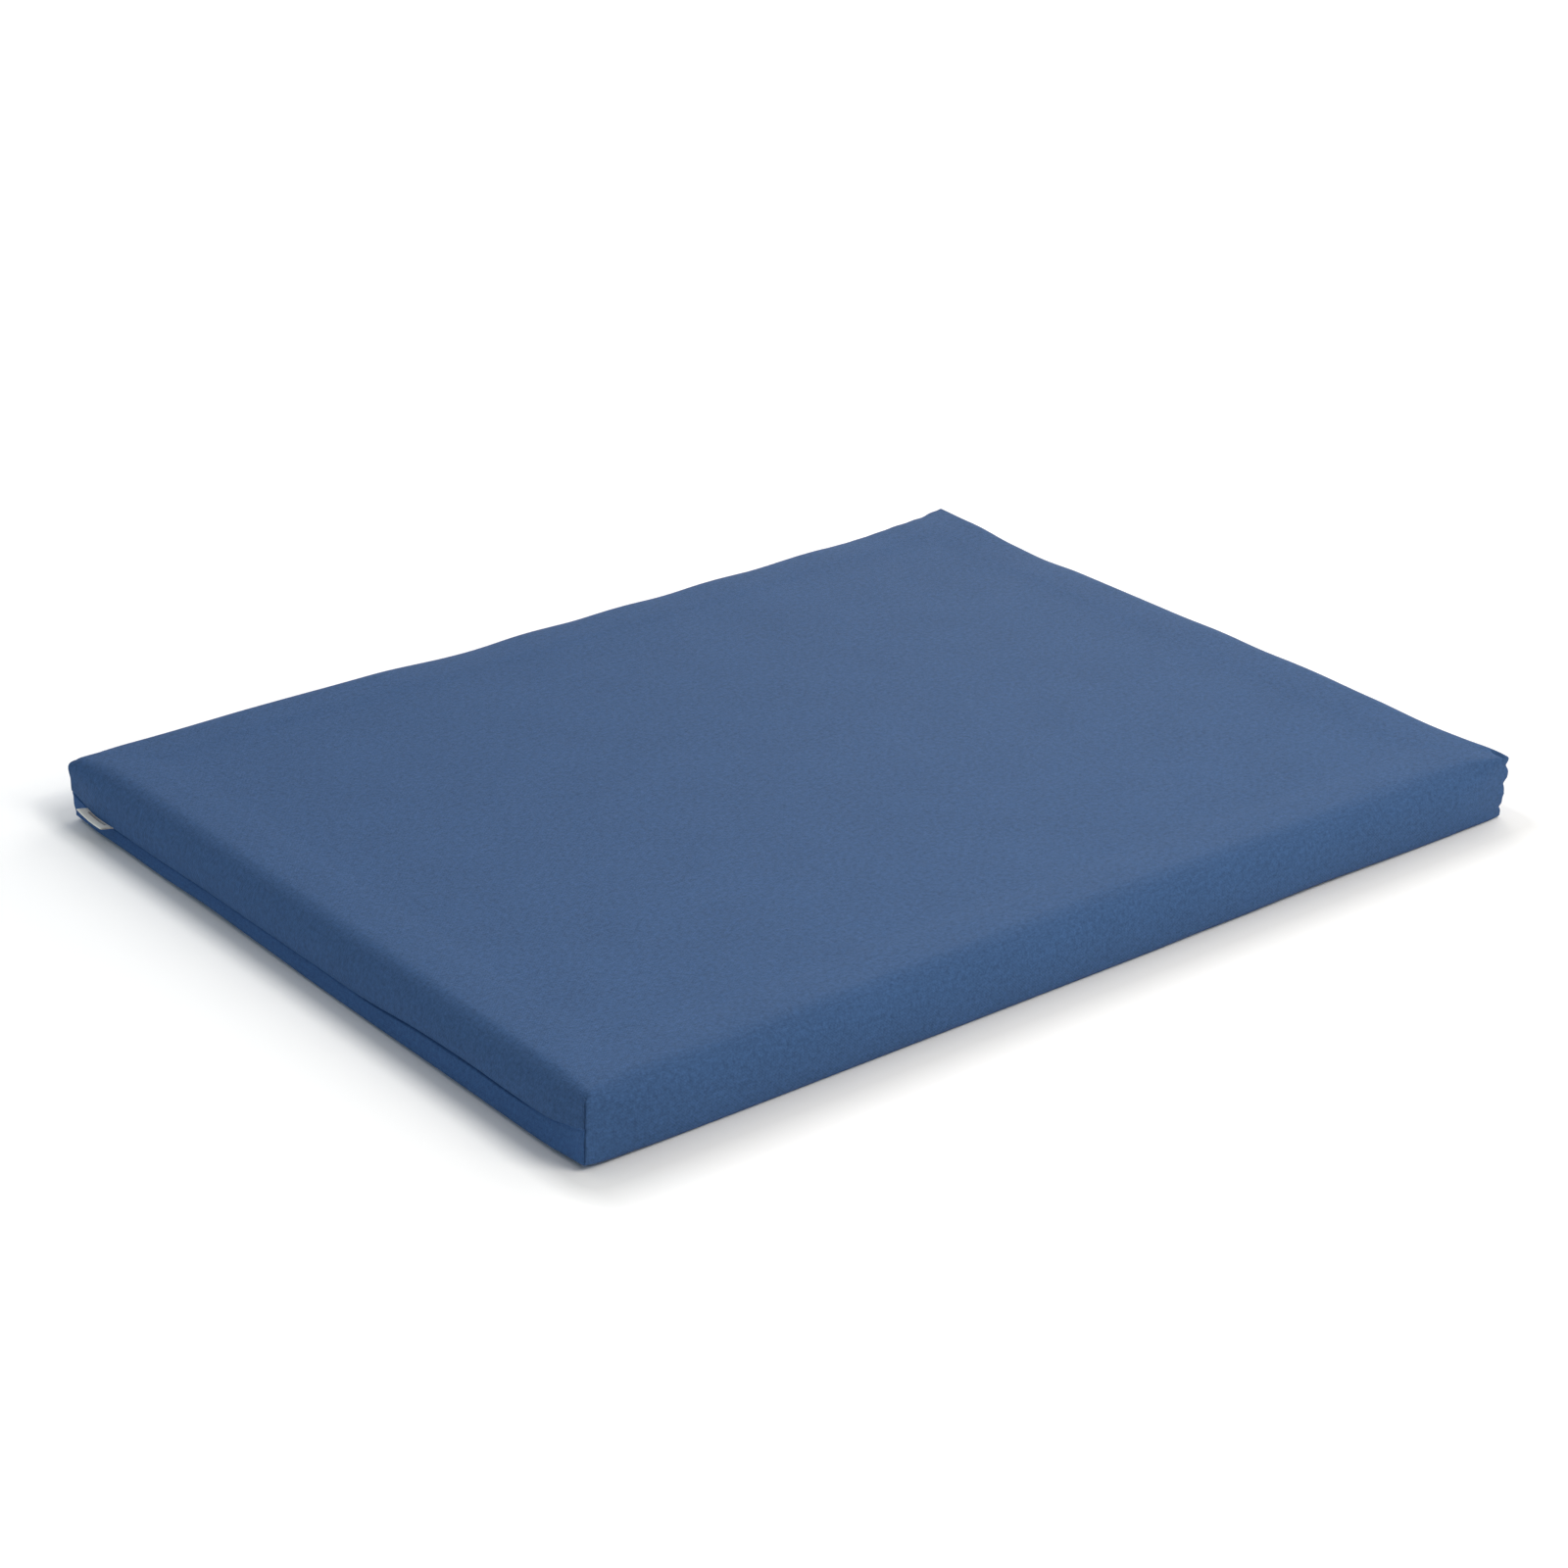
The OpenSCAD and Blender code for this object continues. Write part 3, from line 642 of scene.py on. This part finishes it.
# ---------------------------------------------------------------- materials
class Finish:
    """A material whose nodes are added one line at a time."""

    def __init__(self, name, roughness, **sockets):
        self.material = bpy.data.materials.new(name)
        self.material.use_nodes = True
        self.nodes = self.material.node_tree.nodes
        self.links = self.material.node_tree.links
        self.shader = self.nodes["Principled BSDF"]
        self.shader.inputs["Roughness"].default_value = roughness
        for socket, value in sockets.items():
            self.shader.inputs[socket.replace("_", " ")].default_value = value

    def put(self, value, socket):
        """Link a node's output to the socket, or set the socket to a plain value."""
        if isinstance(value, bpy.types.NodeSocket):
            self.links.new(value, socket)
        else:
            socket.default_value = value

    def math(self, operation, a, b=0.0):
        node = self.nodes.new("ShaderNodeMath")
        node.operation = operation
        self.put(a, node.inputs[0])
        self.put(b, node.inputs[1])
        return node.outputs[0]

    def sum(self, *terms):
        total = terms[0]
        for term in terms[1:]:
            total = self.math("ADD", total, term)
        return total

    def times(self, a, b):
        return self.math("MULTIPLY", a, b)

    def wave(self, value, length):
        """A sine wave along value, from -1 to 1."""
        return self.math("SINE", self.times(value, 2 * math.pi / length))

    def off(self, value, middle):
        """How far value is from middle."""
        return self.math("ABSOLUTE", self.math("SUBTRACT", value, middle))

    def thread(self, place):
        """The rounding of threads one unit apart, from 0 to 1."""
        return self.math("ABSOLUTE", self.math("SINE", self.times(place, math.pi)))

    def cloth_uv(self):
        node = self.nodes.new("ShaderNodeUVMap")
        node.uv_map = "cloth"
        return node.outputs[0]

    def object_place(self):
        return self.nodes.new("ShaderNodeTexCoord").outputs["Object"]

    def split(self, vector):
        node = self.nodes.new("ShaderNodeSeparateXYZ")
        self.links.new(vector, node.inputs[0])
        return node.outputs[0], node.outputs[1], node.outputs[2]

    def stretched(self, vector, scale):
        node = self.nodes.new("ShaderNodeMapping")
        node.inputs["Scale"].default_value = scale
        self.links.new(vector, node.inputs["Vector"])
        return node.outputs[0]

    def noise(self, vector, scale, detail):
        node = self.nodes.new("ShaderNodeTexNoise")
        node.inputs["Scale"].default_value = scale
        node.inputs["Detail"].default_value = detail
        self.links.new(vector, node.inputs["Vector"])
        return node.outputs[0]

    def blend(self, factor, first, second):
        node = self.nodes.new("ShaderNodeMix")
        node.data_type = "RGBA"
        self.put(factor, node.inputs[0])
        self.put(first, node.inputs[6])
        self.put(second, node.inputs[7])
        return node.outputs[2]

    def ranged(self, value, low, high, to_low, to_high):
        node = self.nodes.new("ShaderNodeMapRange")
        self.put(value, node.inputs[0])
        for socket, number in zip(node.inputs[1:5], (low, high, to_low, to_high)):
            socket.default_value = number
        return node.outputs[0]

    def varied(self, noise, middle, amount):
        """A noise spread from middle - amount to middle + amount."""
        return self.ranged(noise, NOISE_LOW, NOISE_HIGH, middle - amount, middle + amount)

    def toned(self, tone, color, spread):
        """The color at tone 0.5, darker towards 0 and lighter towards 1 by spread."""
        return self.blend(tone, shade(color, 1 - spread), shade(color, 1 + spread))

    def color(self, value):
        self.put(value, self.shader.inputs["Base Color"])

    def rough(self, value):
        self.put(value, self.shader.inputs["Roughness"])

    def bump(self, height, depth, strength=1.0):
        node = self.nodes.new("ShaderNodeBump")
        node.inputs["Distance"].default_value = depth
        node.inputs["Strength"].default_value = strength
        self.links.new(height, node.inputs["Height"])
        self.links.new(node.outputs[0], self.shader.inputs["Normal"])


def shade(color, factor):
    """A darker or lighter shade of the color, opaque."""
    return tuple(c * factor for c in color[:3]) + (1,)


def woven(name, color, pitch, relief, sheen=0.0, turned=None):
    """Twill: warp over two wefts, slubs, a faint cloudiness of the dye, and painted shade and highlight
    along the threads.

    turned is (place, tint): below that place of the cloth its colour is tinted lighter, as painted
    light.
    """
    finish = Finish(name, 0.6, Sheen_Weight=sheen, Sheen_Roughness=0.45, Specular_IOR_Level=0.08)
    place = finish.cloth_uv()
    u, v, _ = finish.split(place)
    across, along = finish.math("DIVIDE", u, pitch), finish.math("DIVIDE", v, pitch)
    step = finish.sum(finish.math("FLOOR", across), finish.math("FLOOR", along))
    weft_up = finish.math("LESS_THAN", finish.math("FLOORED_MODULO", step, 3.0), 0.5)
    warp_up = finish.math("SUBTRACT", 1.0, weft_up)
    warp, weft = finish.thread(across), finish.times(finish.thread(along), WEFT_HEIGHT)
    threads = finish.sum(finish.times(warp, warp_up), finish.times(weft, weft_up))
    slubs = finish.sum(*[finish.noise(finish.stretched(place, scale), 1.0, 1.0) for scale in SLUBS])
    grain, blotch, cloud = [finish.noise(place, scale, detail) for scale, detail in DYE_NOISES]
    height = finish.sum(threads, finish.times(slubs, SLUB_HEIGHT), finish.times(grain, GRAIN_HEIGHT))
    finish.bump(height, relief)
    # The threads' part of the tone is painted shade in their dips and painted highlight on their crowns
    tone = finish.sum(finish.ranged(threads, 0, 1, *THREAD_SHADE_AND_HIGHLIGHT),
                      finish.ranged(slubs, 2 * NOISE_LOW, 2 * NOISE_HIGH, -SLUB_TONE, SLUB_TONE),
                      finish.varied(cloud, 0, CLOUD_TONE),
                      finish.varied(blotch, 0, BLOTCH_TONE),
                      finish.varied(grain, 0.5, GRAIN_TONE))
    dye_and_painted_light = finish.toned(tone, color, DYE_SPREAD)
    # Painted light: below the edge the cloth is tinted lighter and bluer, for light that the ends' lower
    # strips don't get
    if turned:
        edge, tint = turned
        other = finish.toned(tone, [c * t for c, t in zip(color, tint)], DYE_SPREAD)
        dye_and_painted_light = finish.blend(finish.math("LESS_THAN", v, edge), dye_and_painted_light, other)
    finish.color(dye_and_painted_light)
    return finish.material


def tape_finish(name, color):
    """Herringbone tape of fine polyester, with painted shade in the dips of its rows and painted
    highlight on their crowns.
    """
    finish = Finish(name, 0.7, Sheen_Weight=0.15, Sheen_Roughness=0.4)
    place = finish.object_place()
    x, _, z = finish.split(place)
    rows = finish.wave(finish.sum(x, finish.math("PINGPONG", z, TAPE_BONE)), TAPE_ROW)
    finish.bump(rows, 0.00006, 0.8)
    # Painted shade and highlight: the tape is darker in the dips of its rows and lighter on their crowns
    tone = finish.sum(finish.ranged(rows, -1, 1, 0.42, 0.58),
                      finish.varied(finish.noise(place, 400, 2), 0, 0.06))
    finish.color(finish.toned(tone, color, 0.5))
    return finish.material


def plain_finish(name, color, roughness, grain_size, relief, **sockets):
    """A moulded, drawn or cast finish with fine grain in its colour, gloss and surface."""
    finish = Finish(name, roughness, **sockets)
    grain = finish.noise(finish.object_place(), grain_size, 3)
    finish.color(finish.toned(grain, color, 0.15))
    finish.rough(finish.varied(grain, roughness, 0.06))
    finish.bump(grain, relief)
    return finish.material


def thread_finish(name, color, pitch, relief):
    """Twisted thread, with painted shade in the dips of its twist and painted highlight on its crowns.
    """
    finish = Finish(name, 0.75, Sheen_Weight=0.2)
    twist = finish.wave(finish.sum(*finish.split(finish.object_place())), pitch)
    finish.bump(twist, relief)
    # Painted shade and highlight: darker in the dips of the twist, lighter on its crowns
    finish.color(finish.toned(finish.ranged(twist, -1, 1, 0, 1), color, 0.2))
    return finish.material


def ribbon_finish(name):
    """A cream woven ribbon with a row of small lozenges, which stops short of its ends."""
    finish = Finish(name, 0.45, Sheen_Weight=0.8, Sheen_Roughness=0.5)
    place = finish.cloth_uv()
    u, v, _ = finish.split(place)
    finish.bump(finish.times(finish.wave(u, RIBBON_PITCH), finish.wave(v, RIBBON_PITCH)), 0.00004)
    along = finish.math("SUBTRACT", u, LABEL_LOW.y)
    across = finish.off(finish.math("PINGPONG", along, LOZENGE_STEP), LOZENGE_STEP / 2)
    reach = finish.sum(finish.times(across, LOZENGE_SLANT), finish.off(v, LOZENGE_ROW))
    lozenge = finish.math("LESS_THAN", reach, LOZENGE_HALF)
    inner = finish.math("LESS_THAN", finish.off(along, (LABEL_HIGH - LABEL_LOW).y / 2), LOZENGE_ROW_HALF)
    cream = finish.blend(finish.noise(place, 700, 2), CREAM_LOW, CREAM_HIGH)
    finish.color(finish.blend(finish.times(lozenge, inner), cream, LOZENGE_BROWN))
    return finish.material


# ---------------------------------------------------------------- the pieces
def cover_places():
    """Grid places of the cover's box along x, y and z for the simulation."""
    parts = [(-HALF_X, SHUT_LOW), (SHUT_LOW, SHUT_HIGH), (SHUT_HIGH, HALF_X)]
    xs = np.unique(np.concatenate([stations(*part, part, *CELLS_X) for part in parts]))
    ys = stations(-HALF_Y, HALF_Y, [-HALF_Y, HALF_Y], *CELLS_Y)
    zs = np.concatenate([MID - ROWS_UP[:0:-1], MID + ROWS_UP])
    return with_close_ends(xs, END_CELL), with_close_ends(ys, END_CELL), zs


def build_cover():
    """The closed cover, swelled by the cloth simulation, with the window for the zip."""
    places = cover_places()
    fine = [halved(place) for place in places]
    rest, quads, sides, index = box_grid(*fine)
    form = cover_form(rest)
    rough_rest, rough_quads, _, rough_index = box_grid(*places)
    move = settle(cover_form(rough_rest), rough_quads, holding(rough_rest))
    form = form + spread(move, rough_index, index)
    form[:, 2] = np.maximum(form[:, 2], 0)
    points, faces, uv = cover_mesh(rest, form, quads, sides, index, fine[0], fine[2])
    cover = add_mesh("cover", points, faces, uv)
    # Below this edge of the cut cloth the twill carries painted light
    under_edge = -(HALF_Y + HEIGHT) * MM
    cover.data.materials.append(woven("twill", BLUE, *TWILL, turned=(under_edge, UNDER_PAINTED_LIGHT)))
    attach(cover, "mat")
    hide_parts("cover_wrap")


def build_liner():
    """The filled liner, which closes the cover's inside."""
    rest, quads, _, _ = box_grid(*(np.linspace(-1, 1, count) for count in LINER_PLACES))
    inner = np.array([HALF_X - LINER_IN, HALF_Y - LINER_IN, MID - LINER_IN / 2])
    corner_pull = 1 - LINER_CORNER_PULL * (rest[:, :1] * rest[:, 1:2]) ** 6
    form = rest * inner * corner_pull
    core = np.clip(form, -(inner - LINER_R), inner - LINER_R)
    out = form - core
    far = np.maximum(np.linalg.norm(out, axis=1), 1e-6)[:, None]
    form = core + out / far * np.minimum(far, LINER_R)
    form[:, 2] += MID
    uv = [rest[i, :2] * LINER_CLOTH for quad in quads for i in quad]
    liner = add_mesh("liner", form, quads, uv)
    liner.data.materials.append(woven("cotton", LINER_WHITE, *COTTON, sheen=0.1))
    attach(liner, "mat")
    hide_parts("core_liner", "foam_core", "wadding_upper", "wadding_lower")


def build_label():
    """The folded ribbon in the left end's seam."""
    ends = np.linspace(LABEL_LOW.y / MM, LABEL_HIGH.y / MM, LABEL_PLACES)
    points, faces, uv = ribbon_mesh(RIBBON_SPINE, ends, RIBBON_HALF)
    label = add_mesh("label", points, faces, uv)
    label.data.materials.append(ribbon_finish("ribbon"))
    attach(label, "mat")
    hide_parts("side_label")


def build_stitches():
    """The rectangle of stitches round the zip's window."""
    high = LIP_HALF + STITCH_FROM_LIP
    low_x, high_x = SHUT_LOW - STITCH_PAST, SHUT_HIGH + STITCH_PAST
    low_z, high_z = MID - high + STITCH_SHORT, MID + high - STITCH_SHORT
    runs = [((low_x, MID + way * high), (high_x, MID + way * high)) for way in (-1, 1)]
    runs += [((x, low_z), (x, high_z)) for x in (low_x, high_x)]
    stitches = add_mesh("zip_stitches", *stitch_mesh(runs))
    stitches.data.materials.append(thread_finish("seam_thread", THREAD_BLUE, *SEAM_THREAD))
    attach(stitches, "mat")


def finish_zip():
    """The finishes of the zip's CAD nodes."""
    finishes = {
        ("zip_tape_upper", "zip_tape_lower"): tape_finish("tape", TAPE_BLUE),
        ("zip_coil_upper", "zip_coil_lower"): plain_finish("nylon", COIL_BLUE, *NYLON),
        ("zip_cord_upper", "zip_cord_lower"): thread_finish("cord", THREAD_BLUE, *FILLER_CORD),
        ("zip_top_stops", "zip_bottom_stop"): plain_finish("aluminium", STOP_GREY, *ALUMINIUM,
                                                           Metallic=1.0),
        ("slider_body", "pull_tab"): plain_finish("enamel", SLIDER_BLUE, *ENAMEL,
                                                  Coat_Weight=0.6, Coat_Roughness=0.15),
    }
    for nodes, material in finishes.items():
        for node in nodes:
            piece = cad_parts[node]
            piece.data.materials.clear()
            piece.data.materials.append(material)


build_cover()
build_liner()
build_label()
build_stitches()
finish_zip()

# ---------------------------------------------------------------- the studio
FLOOR_SIZE = 12
FLOOR_WHITE = (0.93, 0.93, 0.93, 1)
# The floor as the camera sees it, with painted shade round the mat: its grey near the mat, and how much
# whiter a painted glow makes it away from the mat, as (from, to, by)
FLOOR_SEEN = (0.80, 0.80, 0.81, 1)
FLOOR_PAINTED_GLOW = [(0.02, 0.055, 0.26), (0.3, 2.0, 0.25)]
# How fast the painted shade fades to white beside the ends and beside the long edges
FLOOR_PACE = (1.7, 0.9)
WHITE = (1, 1, 1, 1)
SKY_COLOR = (0.97, 0.985, 1.0, 1)
SKY_POWER = 0.72
# The studio's light is brighter from this direction, by SKY_LEAN
SKY_TOWARDS = (0.84, 0.54, 0)
SKY_LEAN = 0.97
WARM = (1.0, 0.95, 0.85)
COOL = (0.2, 0.75, 1.0)
# The lamps, as (name, place, aim, size, color, power)
LAMPS = [("key", (1.9, 0.2, 1.9), (0, 0, 0), 0.9, WARM, 7),
         ("fill", (0.3, -1.5, 1.4), (0, 0, 0), 0.8, WARM, 19),
         ("sheen", (1.15, 0.9, 0.75), (0.1, -0.1, 0), 0.7, WARM, 4.5),
         ("low", (-2.1, 0.9, 0.35), (-0.45, 0, 0.03), 0.5, COOL, 4.8)]
EYE = (-1.6474, -2.0896, 1.2538)
EYE_AZIMUTH, EYE_ELEVATION = math.radians(-38.097), math.radians(24.701)
# The lens as a share of the picture's width, which is the sensor's
LENS_SHARE = 3757.1 / 1600
SENSOR = 36


def seen_rays(nodes, links):
    """1 for the rays that see a backdrop as such, straight, mirrored or through glass, else 0."""
    path = nodes.new("ShaderNodeLightPath")
    seen = path.outputs["Is Camera Ray"]
    for ray in ("Is Glossy Ray", "Is Transmission Ray"):
        either = nodes.new("ShaderNodeMath")
        either.operation = "MAXIMUM"
        links.new(seen, either.inputs[0])
        links.new(path.outputs[ray], either.inputs[1])
        seen = either.outputs[0]
    return seen


def show_backdrop(nodes, links, lighting, shown, output):
    """Send the shown shader to the rays that see the backdrop, and the lighting one to the rest."""
    mix = nodes.new("ShaderNodeMixShader")
    links.new(seen_rays(nodes, links), mix.inputs[0])
    links.new(lighting, mix.inputs[1])
    links.new(shown, mix.inputs[2])
    links.new(mix.outputs[0], nodes[output].inputs["Surface"])


def from_mat(paper):
    """How far a place of the floor is from the mat, stretched by FLOOR_PACE."""
    x, y, _ = paper.split(paper.object_place())
    squares = []
    for place, half, pace in ((x, HALF_X, FLOOR_PACE[0]), (y, HALF_Y, FLOOR_PACE[1])):
        gap = paper.math("SUBTRACT", paper.math("ABSOLUTE", place), half * MM)
        beside = paper.times(paper.math("MAXIMUM", gap, 0.0), pace)
        squares.append(paper.times(beside, beside))
    return paper.math("SQRT", paper.sum(*squares))


def lay_floor():
    """A pale floor, which the camera sees grey near the mat and turned white away from it by a painted
    glow, a painted shade round the mat.
    """
    bpy.ops.mesh.primitive_plane_add(size=FLOOR_SIZE, location=(0, 0, 0))
    floor = bpy.context.object
    floor.name = "floor"
    paper = Finish("paper", 1.0)
    paper.color(FLOOR_WHITE)
    away = from_mat(paper)
    grey = paper.nodes.new("ShaderNodeBsdfDiffuse")
    grey.inputs["Color"].default_value = FLOOR_SEEN
    painted_glow = paper.nodes.new("ShaderNodeEmission")
    # Painted shade round the mat: an emission that grows away from the mat whitens the floor there and
    # leaves it grey near the mat
    whiter = [paper.ranged(away, start, end, 0, most) for start, end, most in FLOOR_PAINTED_GLOW]
    paper.links.new(paper.sum(*whiter), painted_glow.inputs["Strength"])
    shown = paper.nodes.new("ShaderNodeAddShader")
    paper.links.new(grey.outputs[0], shown.inputs[0])
    paper.links.new(painted_glow.outputs[0], shown.inputs[1])
    show_backdrop(paper.nodes, paper.links, paper.shader.outputs[0], shown.outputs[0], "Material Output")
    floor.data.materials.append(paper.material)


def light_world():
    """Soft light that leans to one side, before a white backdrop."""
    world = bpy.data.worlds.new("studio")
    scene.world = world
    world.use_nodes = True
    nodes, links = world.node_tree.nodes, world.node_tree.links
    sky = nodes["Background"]
    sky.inputs["Color"].default_value = SKY_COLOR
    facing = nodes.new("ShaderNodeVectorMath")
    facing.operation = "DOT_PRODUCT"
    facing.inputs[1].default_value = Vector(SKY_TOWARDS).normalized() * SKY_LEAN * SKY_POWER
    power = nodes.new("ShaderNodeMath")
    power.operation = "ADD"
    power.inputs[1].default_value = SKY_POWER
    links.new(nodes.new("ShaderNodeTexCoord").outputs["Generated"], facing.inputs[0])
    links.new(facing.outputs["Value"], power.inputs[0])
    links.new(power.outputs[0], sky.inputs["Strength"])
    white = nodes.new("ShaderNodeBackground")
    white.inputs["Color"].default_value = WHITE
    show_backdrop(nodes, links, sky.outputs[0], white.outputs[0], "World Output")


def area_lamp(name, place, aim, size, color, power):
    """A square lamp that lights the mat and isn't seen itself."""
    lamp = bpy.data.lights.new(name, "AREA")
    lamp.shape = "SQUARE"
    lamp.size = size
    lamp.energy = power
    lamp.color = color
    piece = bpy.data.objects.new(name, lamp)
    piece.location = place
    piece.rotation_euler = (Vector(aim) - Vector(place)).to_track_quat("-Z", "Y").to_euler()
    piece.visible_camera = False
    scene.collection.objects.link(piece)


def place_camera():
    """The camera, near the mat's front left corner and above it."""
    camera = bpy.data.cameras.new("camera")
    camera.sensor_width = SENSOR
    camera.lens = LENS_SHARE * SENSOR
    camera.clip_end = 20
    eye = bpy.data.objects.new("camera", camera)
    scene.collection.objects.link(eye)
    back = Vector((math.sin(EYE_AZIMUTH) * math.cos(EYE_ELEVATION),
                   -math.cos(EYE_AZIMUTH) * math.cos(EYE_ELEVATION), math.sin(EYE_ELEVATION)))
    eye.location = EYE
    eye.rotation_euler = (-back).to_track_quat("-Z", "Y").to_euler()
    scene.camera = eye


lay_floor()
scene.view_settings.view_transform = "Standard"
light_world()
for lamp in LAMPS:
    area_lamp(*lamp)
place_camera()
